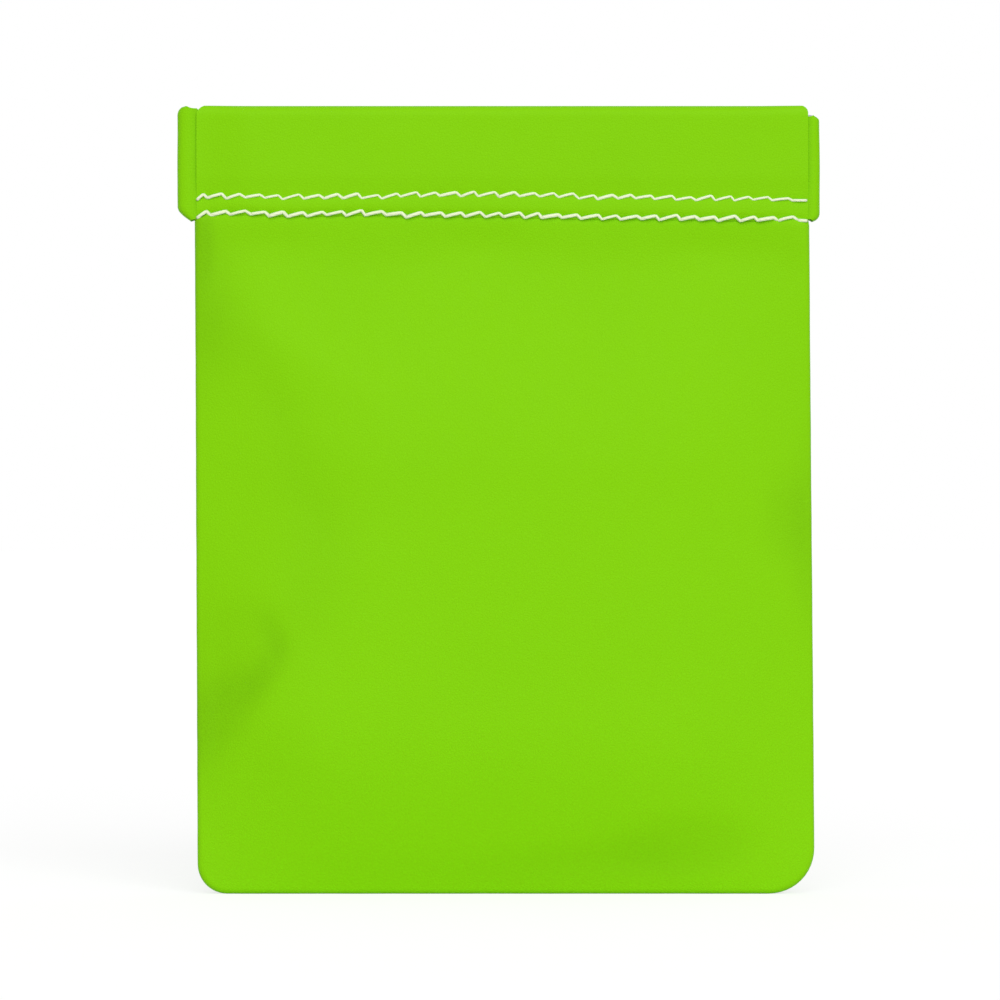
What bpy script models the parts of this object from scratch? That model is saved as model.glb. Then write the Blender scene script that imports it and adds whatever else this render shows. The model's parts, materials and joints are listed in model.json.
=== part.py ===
"""A snap-mouth dice pouch, standing on its bottom seam.

Two leatherette panels are sewn together down both sides and along the bottom. A strip folded over
the top edge of each panel makes a casing, sewn down with two rows of thread, and a spring-steel
blade lies in it. The two blades are hinged to each other at both ends, where a leatherette tab
covers the hinge. Squeezing the ends bows the blades apart and opens the mouth.

Metres, +Z up to the mouth, -Y to the front, origin at the middle of the bottom edge. The pieces
that bend when the mouth opens are each cut into a left, a middle and a right length, along the two
lines that run from the bottom corners to a third of the way along the mouth.
"""

import math

import bmesh
import bpy
from mathutils import Matrix, Vector

# The pouch
BAG_WIDTH = 0.100
BAG_HEIGHT = 0.128
BELLY_DEPTH = 0.012  # outside thickness where the pouch is fullest
CORNER_RADIUS = 0.006
LEATHER = 0.0009
FIT_GAP = 0.0003
SEAM_GAP = 0.0011  # between the two panels along the seams, round the seam thread

# The swell of the panels: the width of the slope that rises from each edge to the belly
SIDE_SLOPE = 0.030
BOTTOM_SLOPE = 0.028
MOUTH_SLOPE = 0.034
MOUTH_LEVEL = 0.1076  # above this height the panels are flat
MOUTH_CORNER = 0.0028

# The casings at the mouth
CASING_HEIGHT = 0.018
CASING_LENGTH = 0.0994
PANEL_OVERLAP = 0.0042  # how far a panel's top edge goes up into its casing
PANEL_TOP_WIDTH = 0.093  # the panel is narrower there, clear of the hinges
INNER_WALL_LENGTH = 0.0946  # the inner wall is cut back at both ends for the hinge

# The spring blades and their hinges
BLADE_THICKNESS = 0.0005
BLADE_HEIGHT = 0.011
BLADE_LENGTH = 0.0932
BLADE_CENTRE_Z = 0.1205
KNUCKLE_RADIUS = 0.0013
KNUCKLE_BORE = 0.00095
KNUCKLE_HEIGHT = 0.0032
NECK_ANGLE = math.radians(53)  # where the neck of a blade meets its knuckle, up from the blade's line
PIN_RADIUS = 0.0004
PIN_HEAD_RADIUS = 0.0010
PIN_HEAD_HEIGHT = 0.0008
TAB_THICKNESS = 0.0008
TAB_CLEARANCE = 0.0006  # to the knuckles, which shift a little as the mouth opens
TAB_HEIGHT = 0.0168
TAB_HALF_ANGLE = math.radians(60)  # the casings' ends swing up to the tab's edges

# The fold lines, from the bottom corners to this far from the middle at the blade's height
FOLD_MOUTH_X = 0.017

# The threads
STITCH_COUNT = 31
STITCH_ROW_LENGTH = 0.0988
STITCH_RISE = 0.0007
STITCH_DROP = 0.22  # share of a stitch's length that is its short steep drop
UPPER_ROW_Z = 0.1133
LOWER_ROW_Z = 0.1107
THREAD_RADIUS = 0.0003
SEAM_THREAD_RADIUS = 0.00025
SEAM_INSET = 0.0012  # seam thread to the edge of the pouch
SEAM_RISE = 0.0004
SEAM_CLEAR_OF_CORNER = 0.008

# Worked out from the above
HALF_WIDTH = BAG_WIDTH / 2
CASING_BOTTOM = BAG_HEIGHT - CASING_HEIGHT
PANEL_TOP = CASING_BOTTOM + PANEL_OVERLAP
CASING_CENTRE_Y = 2 * FIT_GAP + 1.5 * LEATHER
CASING_FOLD_RADIUS = LEATHER + FIT_GAP  # of the middle of the leather
CASING_FACE_Y = CASING_CENTRE_Y + CASING_FOLD_RADIUS + LEATHER / 2
SEAM_Y = (SEAM_GAP + LEATHER) / 2
SWELL = BELLY_DEPTH / 2 - SEAM_Y - LEATHER / 2
TAB_RADIUS = KNUCKLE_RADIUS + TAB_CLEARANCE + TAB_THICKNESS / 2
STITCH_PITCH = STITCH_ROW_LENGTH / STITCH_COUNT
CUTTER_REACH = 0.02  # how far a cutter goes past the pouch
OUTLINE_MARGIN = 0.001  # how far a panel's grid goes past its outline

# How finely the round and swollen shapes are divided
PANEL_COLUMNS = 15
PANEL_ROWS = 18
CORNER_STEPS = 6
FOLD_STEPS = 8
BARREL_SIDES = 20
PIN_SIDES = 12
PIN_HEAD_STEPS = 4
TAB_STEPS = 8

# The two faces, the two ends and the three lengths that pieces are cut into
FRONT, BACK = -1, 1
SIDES = {"left": -1, "right": 1}
FACES = {"front": FRONT, "back": BACK}
LENGTHS = ("left", "middle", "right")

for leftover in list(bpy.data.objects):
    bpy.data.objects.remove(leftover)

pouch = bpy.data.collections.new("snap_mouth_dice_pouch")
cutters = bpy.data.collections.new("cutters")
bpy.context.scene.collection.children.link(pouch)
bpy.context.scene.collection.children.link(cutters)


def finish(name, colour, roughness, metallic=0.0):
    """A plain material for one finish."""
    material = bpy.data.materials.new(name)
    material.use_nodes = True
    shader = material.node_tree.nodes["Principled BSDF"]
    shader.inputs["Base Color"].default_value = (*colour, 1.0)
    shader.inputs["Roughness"].default_value = roughness
    shader.inputs["Metallic"].default_value = metallic
    return material


LEATHERETTE = finish("lime_leatherette", (0.243, 0.659, 0.005), 0.55)
WHITE_THREAD = finish("white_thread", (0.90, 0.92, 0.86), 0.75)
LIME_THREAD = finish("lime_thread", (0.20, 0.56, 0.01), 0.75)
SPRING_STEEL = finish("spring_steel", (0.55, 0.56, 0.58), 0.35, metallic=1.0)


def smooth(t):
    """Level at both ends."""
    t = min(max(t, 0.0), 1.0)
    return t * t * (3 - 2 * t)


def crown(t):
    """Steep at the start, where a seam holds it, and level at the end."""
    t = min(max(t, 0.0), 1.0)
    return 1 - (1 - t) ** 2


def fold_x(z):
    """Distance of a fold line from the middle of the pouch, at one height."""
    return HALF_WIDTH - (HALF_WIDTH - FOLD_MOUTH_X) * z / BLADE_CENTRE_Z


def mesh_of(name, bm):
    """Turns a finished bmesh into a mesh with its faces pointing out."""
    bmesh.ops.recalc_face_normals(bm, faces=bm.faces)
    mesh = bpy.data.meshes.new(name)
    bm.to_mesh(mesh)
    bm.free()
    return mesh


def add_cutter(name, mesh, matrix=None):
    """A shape that cuts or joins others, and isn't a piece itself."""
    cutter = bpy.data.objects.new(name, mesh)
    cutter.matrix_world = matrix or Matrix()
    cutter.hide_render = True
    cutter.display_type = "WIRE"
    cutters.objects.link(cutter)
    return cutter


def block_cutter(name, size, centre, turn_z=0.0):
    """A box of one size about one centre, turned about the vertical."""
    bm = bmesh.new()
    bmesh.ops.create_cube(bm, size=1.0)
    bmesh.ops.scale(bm, vec=size, verts=bm.verts)
    bmesh.ops.rotate(bm, matrix=Matrix.Rotation(turn_z, 3, "Z"), verts=bm.verts)
    bmesh.ops.translate(bm, vec=centre, verts=bm.verts)
    return add_cutter(name, mesh_of(name, bm))


def round_cutter(name, radius, height, centre):
    """An upright cylinder about one centre."""
    bm = bmesh.new()
    bmesh.ops.create_cone(
        bm, cap_ends=True, segments=BARREL_SIDES, radius1=radius, radius2=radius, depth=height
    )
    bmesh.ops.translate(bm, vec=centre, verts=bm.verts)
    return add_cutter(name, mesh_of(name, bm))


def outline_cutter(name, points):
    """A prism right through the pouch from front to back, from an outline of (x, z) points."""
    curve = bpy.data.curves.new(name, "CURVE")
    curve.dimensions = "2D"
    curve.fill_mode = "BOTH"
    curve.extrude = CUTTER_REACH
    spline = curve.splines.new("POLY")
    spline.points.add(len(points) - 1)
    for point, (x, z) in zip(spline.points, points):
        point.co = (x, z, 0.0, 1.0)
    spline.use_cyclic_u = True
    drawn = bpy.data.objects.new(name, curve)
    drawn.rotation_euler.x = math.radians(90)
    cutters.objects.link(drawn)
    bpy.context.view_layer.update()
    evaluated = drawn.evaluated_get(bpy.context.evaluated_depsgraph_get())
    bm = bmesh.new()
    bm.from_mesh(bpy.data.meshes.new_from_object(evaluated))
    bmesh.ops.remove_doubles(bm, verts=bm.verts, dist=1e-6)
    matrix = drawn.matrix_world.copy()
    bpy.data.objects.remove(drawn)
    return add_cutter(name, mesh_of(name, bm), matrix)


def add_piece(name, data, material, joint):
    """One piece of the pouch, hung on the empty of the joint that moves it."""
    piece = bpy.data.objects.new(name, data)
    data.materials.clear()
    data.materials.append(material)
    pouch.objects.link(piece)
    if joint is not None:
        piece.parent = joint
        piece.matrix_parent_inverse = joint.matrix_world.inverted()
    return piece


def boolean(piece, operation, cutter):
    """Cuts a piece with a cutter, or joins the cutter to it."""
    modifier = piece.modifiers.new(f"{operation.lower()}_{cutter.name}", "BOOLEAN")
    modifier.operation = operation
    modifier.object = cutter


def solidify(piece, thickness):
    """Gives an open surface its thickness, half to each side."""
    modifier = piece.modifiers.new("thickness", "SOLIDIFY")
    modifier.thickness = thickness
    modifier.offset = 0.0
    modifier.use_even_offset = True


def joint_empty(name, place, axis, parent=None):
    """An empty on a joint's axis, with its Z along the axis."""
    empty = bpy.data.objects.new(name, None)
    empty.empty_display_size = 0.01
    pouch.objects.link(empty)
    turn = Vector(axis).to_track_quat("Z", "Y").to_matrix().to_4x4()
    if parent is not None:
        empty.parent = parent
    bpy.context.view_layer.update()
    empty.matrix_world = Matrix.Translation(place) @ turn
    bpy.context.view_layer.update()
    return empty


def make_joints():
    """The empties of every joint, by the length of the face that each one moves."""
    joints = {("back", "middle"): None}
    joints["front", "middle"] = joint_empty("front_swing_axis", (0, 0, 0), (1, 0, 0))
    for face in FACES:
        for side, sign in SIDES.items():
            corner = (sign * HALF_WIDTH, 0, 0)
            along = (sign * (FOLD_MOUTH_X - HALF_WIDTH), 0, BLADE_CENTRE_Z)
            joints[face, side] = joint_empty(
                f"{face}_{side}_fold_axis", corner, along, joints[face, "middle"]
            )
    for side, sign in SIDES.items():
        pin_place = (sign * HALF_WIDTH, 0, BLADE_CENTRE_Z)
        joints["pin", side] = joint_empty(f"{side}_pin_axis", pin_place, (0, 0, 1), joints["front", side])
    return joints


def make_length_cutters():
    """Prisms that keep the left, the middle or the right length of a piece."""
    low, high = -CUTTER_REACH, BAG_HEIGHT + CUTTER_REACH
    far = HALF_WIDTH + CUTTER_REACH
    inside = [(fold_x(z) - FIT_GAP / 2, z) for z in (low, high)]
    outside = [(fold_x(z) + FIT_GAP / 2, z) for z in (low, high)]
    made = {"middle": outline_cutter("keep_middle", [(-x, z) for x, z in inside] + inside[::-1])}
    for side, sign in SIDES.items():
        outline = [(sign * x, z) for x, z in outside + [(far, high), (far, low)]]
        made[side] = outline_cutter(f"keep_{side}", outline)
    return made


def panel_outline():
    """The outline of a panel: round bottom corners, and a narrower edge up inside the casing."""
    inset = HALF_WIDTH - CORNER_RADIUS
    points = []
    for step in range(CORNER_STEPS + 1):
        angle = math.radians(90) * step / CORNER_STEPS
        points.append((inset + CORNER_RADIUS * math.sin(angle), CORNER_RADIUS * (1 - math.cos(angle))))
    shoulder = CASING_BOTTOM - FIT_GAP
    points += [(HALF_WIDTH, shoulder), (PANEL_TOP_WIDTH / 2, shoulder), (PANEL_TOP_WIDTH / 2, PANEL_TOP)]
    return points + [(-x, z) for x, z in reversed(points)]


def panel_depth(x, z):
    """Distance of the middle of a panel's leather from the plane between the two panels."""
    from_side = HALF_WIDTH - abs(x)
    belly = crown(from_side / SIDE_SLOPE) * crown(z / BOTTOM_SLOPE)
    belly *= smooth((MOUTH_LEVEL - z) / MOUTH_SLOPE)
    at_mouth = 1 - smooth((MOUTH_LEVEL - z) / MOUTH_SLOPE)
    at_mouth *= smooth(from_side / MOUTH_CORNER)
    return SEAM_Y + (CASING_CENTRE_Y - SEAM_Y) * at_mouth + SWELL * belly


def panel_mesh(face, sign):
    """A panel's surface: a grid, closer towards its edges, swollen out from the seams."""
    bm = bmesh.new()
    bmesh.ops.create_grid(bm, x_segments=PANEL_COLUMNS, y_segments=PANEL_ROWS, size=1.0)
    half_height = PANEL_TOP / 2 + OUTLINE_MARGIN
    for vert in bm.verts:
        x = (HALF_WIDTH + OUTLINE_MARGIN) * math.sin(vert.co.x * math.pi / 2)
        z = PANEL_TOP / 2 + half_height * math.sin(vert.co.y * math.pi / 2)
        vert.co = (x, sign * panel_depth(x, z), z)
    return mesh_of(f"{face}_panel", bm)


def make_panels(joints, keep):
    """The front and back panels, each in three lengths."""
    outline = outline_cutter("panel_outline", panel_outline())
    for face, sign in FACES.items():
        mesh = panel_mesh(face, sign)
        for length in LENGTHS:
            panel = add_piece(f"{face}_panel_{length}", mesh, LEATHERETTE, joints[face, length])
            solidify(panel, LEATHER)
            boolean(panel, "INTERSECT", outline)
            boolean(panel, "INTERSECT", keep[length])


def casing_mesh(face, sign):
    """A flat strip folded over the top edge: up the inside, round the fold, down the outside."""
    bm = bmesh.new()
    bmesh.ops.create_grid(bm, x_segments=1, y_segments=FOLD_STEPS + 2, size=1.0)
    fold_z = BAG_HEIGHT - CASING_FOLD_RADIUS - LEATHER / 2
    for vert in bm.verts:
        row = round((vert.co.y + 1) / 2 * (FOLD_STEPS + 2))
        angle = math.pi * (min(max(row - 1, 0), FOLD_STEPS) / FOLD_STEPS)
        depth = CASING_CENTRE_Y - CASING_FOLD_RADIUS * math.cos(angle)
        z = fold_z + CASING_FOLD_RADIUS * math.sin(angle)
        if row in (0, FOLD_STEPS + 2):
            z = CASING_BOTTOM
        vert.co = (vert.co.x * CASING_LENGTH / 2, sign * depth, z)
    return mesh_of(f"{face}_casing", bm)


def make_casings(joints, keep):
    """The two casing strips, cut back on the inside at both ends for the hinge."""
    width = 2 * (CASING_CENTRE_Y + CASING_FOLD_RADIUS - LEATHER / 2 - FIT_GAP / 2)
    notch_size = (CUTTER_REACH, width, 2 * CASING_HEIGHT)
    notches = {}
    for side, sign in SIDES.items():
        centre = (sign * (INNER_WALL_LENGTH + CUTTER_REACH) / 2, 0, BAG_HEIGHT)
        notches[side] = block_cutter(f"{side}_hinge_notch", notch_size, centre)
    for face, sign in FACES.items():
        mesh = casing_mesh(face, sign)
        for length in LENGTHS:
            casing = add_piece(f"{face}_casing_{length}", mesh, LEATHERETTE, joints[face, length])
            solidify(casing, LEATHER)
            boolean(casing, "INTERSECT", keep[length])
            if length in notches:
                boolean(casing, "DIFFERENCE", notches[length])


def knuckle_heights():
    """The heights of each blade's knuckles: one in the middle on the front, two on the back."""
    step = KNUCKLE_HEIGHT + FIT_GAP
    return {"front": [BLADE_CENTRE_Z], "back": [BLADE_CENTRE_Z - step, BLADE_CENTRE_Z + step]}


def join_knuckle(blade, face_sign, side_sign, z):
    """Joins one rolled knuckle, and the neck that bends in to it, to the end of a blade."""
    start = Vector((side_sign * (BLADE_LENGTH / 2 - BLADE_THICKNESS), face_sign * CASING_CENTRE_Y, z))
    barrel = Vector((side_sign * HALF_WIDTH, 0, z))
    middle_of_wall = (KNUCKLE_RADIUS + KNUCKLE_BORE) / 2
    toward_neck = Vector((-side_sign * math.cos(NECK_ANGLE), face_sign * math.sin(NECK_ANGLE), 0))
    end = barrel + toward_neck * middle_of_wall
    run = end - start
    size = (run.length + BLADE_THICKNESS / 2, BLADE_THICKNESS, KNUCKLE_HEIGHT)
    neck = block_cutter(f"{blade.name}_neck", size, (start + end) / 2, math.atan2(run.y, run.x))
    boolean(blade, "UNION", neck)
    boolean(blade, "UNION", round_cutter(f"{blade.name}_barrel", KNUCKLE_RADIUS, KNUCKLE_HEIGHT, barrel))


def make_blades(joints, keep):
    """The two spring blades, with knuckles at both ends."""
    bores = {}
    for side, sign in SIDES.items():
        centre = (sign * HALF_WIDTH, 0, BLADE_CENTRE_Z)
        bores[side] = round_cutter(f"{side}_pin_bore", KNUCKLE_BORE, 2 * BLADE_HEIGHT, centre)
    heights = knuckle_heights()
    for face, face_sign in FACES.items():
        bm = bmesh.new()
        bmesh.ops.create_cube(bm, size=1.0)
        bmesh.ops.scale(bm, vec=(BLADE_LENGTH, BLADE_THICKNESS, BLADE_HEIGHT), verts=bm.verts)
        place = (0, face_sign * CASING_CENTRE_Y, BLADE_CENTRE_Z)
        bmesh.ops.translate(bm, vec=place, verts=bm.verts)
        mesh = mesh_of(f"{face}_blade", bm)
        for length in LENGTHS:
            blade = add_piece(f"{face}_blade_{length}", mesh, SPRING_STEEL, joints[face, length])
            boolean(blade, "INTERSECT", keep[length])
            if length in SIDES:
                for z in heights[face]:
                    join_knuckle(blade, face_sign, SIDES[length], z)
                boolean(blade, "DIFFERENCE", bores[length])


def make_pin(side, sign, joint):
    """A hinge pin with a low round head, turned from its profile."""
    top = BLADE_CENTRE_Z + 1.5 * KNUCKLE_HEIGHT + 2 * FIT_GAP
    foot = BLADE_CENTRE_Z - 1.5 * KNUCKLE_HEIGHT - 2 * FIT_GAP
    profile = []
    for step in range(PIN_HEAD_STEPS + 1):
        angle = math.radians(90) * step / PIN_HEAD_STEPS
        profile.append((PIN_HEAD_RADIUS * math.sin(angle), top + PIN_HEAD_HEIGHT * math.cos(angle)))
    profile += [(PIN_RADIUS, top), (PIN_RADIUS, foot + PIN_RADIUS / 2), (PIN_RADIUS / 2, foot), (0, foot)]
    bm = bmesh.new()
    verts = [bm.verts.new((radius, 0, z)) for radius, z in profile]
    for upper, lower in zip(verts, verts[1:]):
        bm.edges.new((upper, lower))
    mesh = bpy.data.meshes.new(f"{side}_hinge_pin")
    bm.to_mesh(mesh)
    bm.free()
    pin = add_piece(f"{side}_hinge_pin", mesh, SPRING_STEEL, joint)
    pin.location.x = sign * HALF_WIDTH
    turn = pin.modifiers.new("turned", "SCREW")
    turn.steps = turn.render_steps = PIN_SIDES
    turn.use_merge_vertices = True
    turn.merge_threshold = 1e-6
    turn.use_smooth_shade = True


def make_tab(side, sign, joint):
    """A leatherette end tab, bent round the outside of the hinge."""
    bm = bmesh.new()
    bmesh.ops.create_grid(bm, x_segments=1, y_segments=TAB_STEPS, size=1.0)
    for vert in bm.verts:
        angle = vert.co.y * TAB_HALF_ANGLE
        outward = HALF_WIDTH + TAB_RADIUS * math.cos(angle)
        z = (CASING_BOTTOM + BAG_HEIGHT + vert.co.x * TAB_HEIGHT) / 2
        vert.co = (sign * outward, TAB_RADIUS * math.sin(angle), z)
    tab = add_piece(f"{side}_end_tab", mesh_of(f"{side}_end_tab", bm), LEATHERETTE, joint)
    solidify(tab, TAB_THICKNESS)


def saw_thread(name, start, along, across, stitches, radius, material, joint):
    """A row of stitches as one thread: each rises slowly, then drops back."""
    curve = bpy.data.curves.new(name, "CURVE")
    curve.dimensions = "3D"
    curve.bevel_depth = radius
    curve.bevel_resolution = 1
    curve.use_fill_caps = True
    spline = curve.splines.new("POLY")
    spline.points.add(2 * len(stitches) - 1)
    for index, stitch in enumerate(stitches):
        low = start + along * stitch - across / 2
        high = start + along * (stitch + 1 - STITCH_DROP) + across / 2
        spline.points[2 * index].co = (*low, 1.0)
        spline.points[2 * index + 1].co = (*high, 1.0)
    add_piece(name, curve, material, joint)


def make_casing_stitches(joints):
    """Two rows of white thread on the outside of each casing, each in three lengths."""
    for face, sign in FACES.items():
        for row, z in {"upper": UPPER_ROW_Z, "lower": LOWER_ROW_Z}.items():
            start = Vector((-STITCH_ROW_LENGTH / 2, sign * (CASING_FACE_Y + FIT_GAP + THREAD_RADIUS), z))
            lengths = {length: [] for length in LENGTHS}
            for stitch in range(STITCH_COUNT):
                middle = start.x + (stitch + (1 - STITCH_DROP) / 2) * STITCH_PITCH
                nearest = "middle" if abs(middle) < fold_x(z) else "left" if middle < 0 else "right"
                lengths[nearest].append(stitch)
            for length, stitches in lengths.items():
                saw_thread(
                    f"{face}_{row}_stitches_{length}",
                    start,
                    Vector((STITCH_PITCH, 0, 0)),
                    Vector((0, 0, STITCH_RISE)),
                    stitches,
                    THREAD_RADIUS,
                    WHITE_THREAD,
                    joints[face, length],
                )


def make_seam_threads(joints):
    """The hidden threads that join the two panels along the sides and the bottom."""
    upright = Vector((0, 0, STITCH_PITCH))
    count = int((CASING_BOTTOM - 2 * SEAM_CLEAR_OF_CORNER) / STITCH_PITCH)
    for side, sign in SIDES.items():
        start = Vector((sign * (HALF_WIDTH - SEAM_INSET), 0, SEAM_CLEAR_OF_CORNER))
        across = Vector((sign * SEAM_RISE, 0, 0))
        saw_thread(
            f"{side}_seam_thread", start, upright, across, range(count), SEAM_THREAD_RADIUS,
            LIME_THREAD, joints["back", side],
        )
    count = int((BAG_WIDTH - 2 * SEAM_CLEAR_OF_CORNER) / STITCH_PITCH)
    start = Vector((-count * STITCH_PITCH / 2, 0, SEAM_INSET))
    saw_thread(
        "bottom_seam_thread", start, Vector((STITCH_PITCH, 0, 0)), Vector((0, 0, SEAM_RISE)), range(count),
        SEAM_THREAD_RADIUS, LIME_THREAD, None,
    )


def main():
    joints = make_joints()
    keep = make_length_cutters()
    make_panels(joints, keep)
    make_casings(joints, keep)
    make_blades(joints, keep)
    for side, sign in SIDES.items():
        make_pin(side, sign, joints["pin", side])
        make_tab(side, sign, joints["pin", side])
    make_casing_stitches(joints)
    make_seam_threads(joints)


main()
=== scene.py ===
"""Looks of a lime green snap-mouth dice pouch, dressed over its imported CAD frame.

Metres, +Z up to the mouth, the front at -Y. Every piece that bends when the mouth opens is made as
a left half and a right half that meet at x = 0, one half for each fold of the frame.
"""

import json
import math
import random

import bmesh
import bpy
from mathutils import Matrix, Vector, noise


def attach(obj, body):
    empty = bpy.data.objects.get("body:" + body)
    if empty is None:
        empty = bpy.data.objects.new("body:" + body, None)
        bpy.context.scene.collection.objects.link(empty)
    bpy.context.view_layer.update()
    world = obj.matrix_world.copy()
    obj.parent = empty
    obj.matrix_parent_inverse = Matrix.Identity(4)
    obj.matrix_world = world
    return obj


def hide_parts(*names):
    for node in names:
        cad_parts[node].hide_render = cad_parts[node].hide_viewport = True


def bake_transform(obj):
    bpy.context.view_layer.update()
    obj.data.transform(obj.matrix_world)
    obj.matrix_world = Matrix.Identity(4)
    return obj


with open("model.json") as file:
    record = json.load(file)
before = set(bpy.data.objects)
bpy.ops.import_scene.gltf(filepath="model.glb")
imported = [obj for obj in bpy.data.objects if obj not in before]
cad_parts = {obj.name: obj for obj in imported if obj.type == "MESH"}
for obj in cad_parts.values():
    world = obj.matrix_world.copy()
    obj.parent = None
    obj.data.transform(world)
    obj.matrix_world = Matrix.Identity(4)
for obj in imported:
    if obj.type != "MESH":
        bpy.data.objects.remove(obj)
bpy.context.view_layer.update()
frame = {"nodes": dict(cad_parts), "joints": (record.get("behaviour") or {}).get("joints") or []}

MM = 0.001
FACES = {"front": -1, "back": 1}  # the sign of Y
SIDES = {"left": -1, "right": 1}  # the sign of X

# Outline, as photographed: the side seams lean a little, and the two lower corners differ
SEAM_EDGE_LOW = {"left": 49.45 * MM, "right": 50.85 * MM}
SEAM_EDGE_HIGH = {"left": 49.95 * MM, "right": 49.9 * MM}
CORNER_RADIUS = {"left": 4.8 * MM, "right": 7.5 * MM}

# Panels
PANEL_HIDE = 0.7 * MM  # thickness of a panel's leatherette
SEAM_ROLL = 0.6 * MM  # radius of the edge that is turned in along a seam
SEAM_INSET = SEAM_ROLL + PANEL_HIDE / 2
ALLOWANCE_DEPTH = 0.5 * MM  # depths are measured from the seam plane to the middle of the hide
RIM_DEPTH = ALLOWANCE_DEPTH + 2 * SEAM_ROLL
RIM_LIFT = 0.7 * MM  # the rim is that much deeper at the casing
RIM_LIFT_START = 100.6 * MM
RIM_LIFT_HEIGHT = 9 * MM
ALLOWANCE = 3 * MM
BELLY_DEPTH = 5.65 * MM
BOTTOM_SLOPE = 28 * MM
MOUTH_SLOPE = 42 * MM
MOUTH_FULLNESS = 0.03  # share of the belly that is left at the casing
# How far a panel takes to rise from each side seam, as (z, slope) in millimetres
SIDE_SLOPES = {
    "front": {
        "left": ((0, 26), (14, 24), (30, 18), (46, 20), (64, 34), (76, 32), (94, 13), (112, 12)),
        "right": ((0, 30), (40, 32), (60, 36), (80, 32), (112, 26)),
    },
    "back": {
        "left": ((0, 28), (30, 18), (55, 32), (90, 20), (112, 24)),
        "right": ((0, 30), (25, 32), (50, 18), (80, 34), (112, 16)),
    },
}
PANEL_TOP = 114.2 * MM
PANEL_TOP_REACH = 46.5 * MM
PANEL_TAPER_START = 109.9 * MM  # above this a panel narrows to its top, inside the casing
PANEL_TAPER_HEIGHT = 0.9 * MM
SEAM_TOP = 110 * MM
PANEL_TUCK_DEPTH = 1.95 * MM
TUCK_BELOW = 0.5 * MM  # a panel starts to tuck in this far under the casing's lower edge
TUCK_ABOVE = 1.0 * MM
NECK = 0.32 * MM  # how far the casing's stitches draw a panel in just under them
NECK_DROP = 4.5 * MM
NECK_HEIGHT = 3.2 * MM
NECK_FADE = 3 * MM
# Where it is drawn in most, in millimetres along the mouth
NECK_PATCHES = {"front": (-38, -3, 36), "back": (-30, 8, 41)}
NECK_PATCH_WIDTH = 9
PANEL_COLUMNS = 60
CORNER_ROWS = 12
BODY_ROWS = 112
TUCK_ROWS = 17
TUCK_START = 107.4 * MM
ROLL_STEPS = 8
ALLOWANCE_STEPS = 3
EDGE_CROWDING = 0.6  # 0 spaces a panel's columns evenly, 1 crowds them towards the seam
SHARP_EDGE = math.radians(50)

# Casings
CASING_HIDE = 0.8 * MM
CASING_TOP = 128 * MM
CASING_DEPTH = 3.2 * MM
CASING_ROWS_DEPTH = 2.95 * MM  # where the two rows of stitches hold it down
CASING_BULGE_START = 113.6 * MM  # from here up, the blade fills the casing out
CASING_BULGE_HEIGHT = 3.2 * MM
CASING_WAVE = 0.09 * MM  # unevenness of the outer wall, which fades towards the fold
CASING_WAVE_FADE = 3 * MM
CASING_WAVES = (70, 110)  # to the metre, along the mouth and up
CASING_INNER_DEPTH = 0.7 * MM
CASING_FOLD_RADIUS = (CASING_DEPTH - CASING_INNER_DEPTH) / 2
CASING_FOLD_Z = CASING_TOP - CASING_HIDE / 2 - CASING_FOLD_RADIUS
CASING_INNER_LOW = 110.6 * MM
CASING_END = {"left": 49.6 * MM, "right": 49.7 * MM}
CASING_INNER_END = 47.3 * MM
CASING_CORNER = {"left": 1.5 * MM, "right": 1.1 * MM}
HEM_BELOW_ROW = 0.34 * MM  # from the lower row of stitches to the casing's lower edge
HEM_PRESS = 0.1 * MM
HEM_PRESS_HEIGHT = 1.2 * MM
HEM_SKIVE = 0.25  # share of the thickness that is left at the casing's pared lower edge
HEM_SKIVE_HEIGHT = 1.5 * MM
END_PINCH = 0.68 * MM  # the pared ends of a casing are drawn in onto the tabs
END_PARING = 0.2
END_REACH = 9 * MM
CASING_COLUMNS = 100
OUTER_ROWS = 32
FOLD_ROWS = 9
INNER_ROWS = 14

# Stitches: the two rows wander a little, as (x, z) in millimetres from the photograph
ROW_LINES = {
    "upper": (
        (-50, 113.2), (-47, 113.35), (-34, 113.15), (-21, 113.25), (-13, 113.55), (2, 113.55),
        (9, 113.4), (15, 113.15), (21, 113.15), (28, 112.95), (43, 112.85), (50, 112.6),
    ),
    "lower": (
        (-50, 110.1), (-47, 110.5), (-44, 110.65), (-34, 110.35), (-22, 110.55), (-15, 110.3),
        (-3, 110.27), (8, 110.1), (12, 109.9), (28, 109.82), (36, 109.65), (46, 109.62),
        (50, 109.2),
    ),
}
# x of the highest point of each row's first, second and last full stitch
STITCH_PEAKS = {"upper": (-48.3, -45.6, 46.5), "lower": (-47.8, -44.9, 47.3)}
STITCH_COUNT = 31
STITCH_REACH = 49.45 * MM
STITCH_PITCH = 3.176 * MM
SPLIT_STITCH = 16  # a row is cut into its halves at the start of this stitch
STITCH_RISE = 0.6 * MM
STITCH_DROP = 0.22  # share of the pitch in which a stitch falls back to the row's lower side
# One stitch: share of its length, share of its rise, and how proud it lies, in thread radii
STITCH_STROKE = (
    (0, 0, -0.45), (0.1, 0.1, 0.35), (0.45, 0.5, 0.6), (0.9, 0.93, 0.4), (1, 1, -0.35),
)
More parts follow.
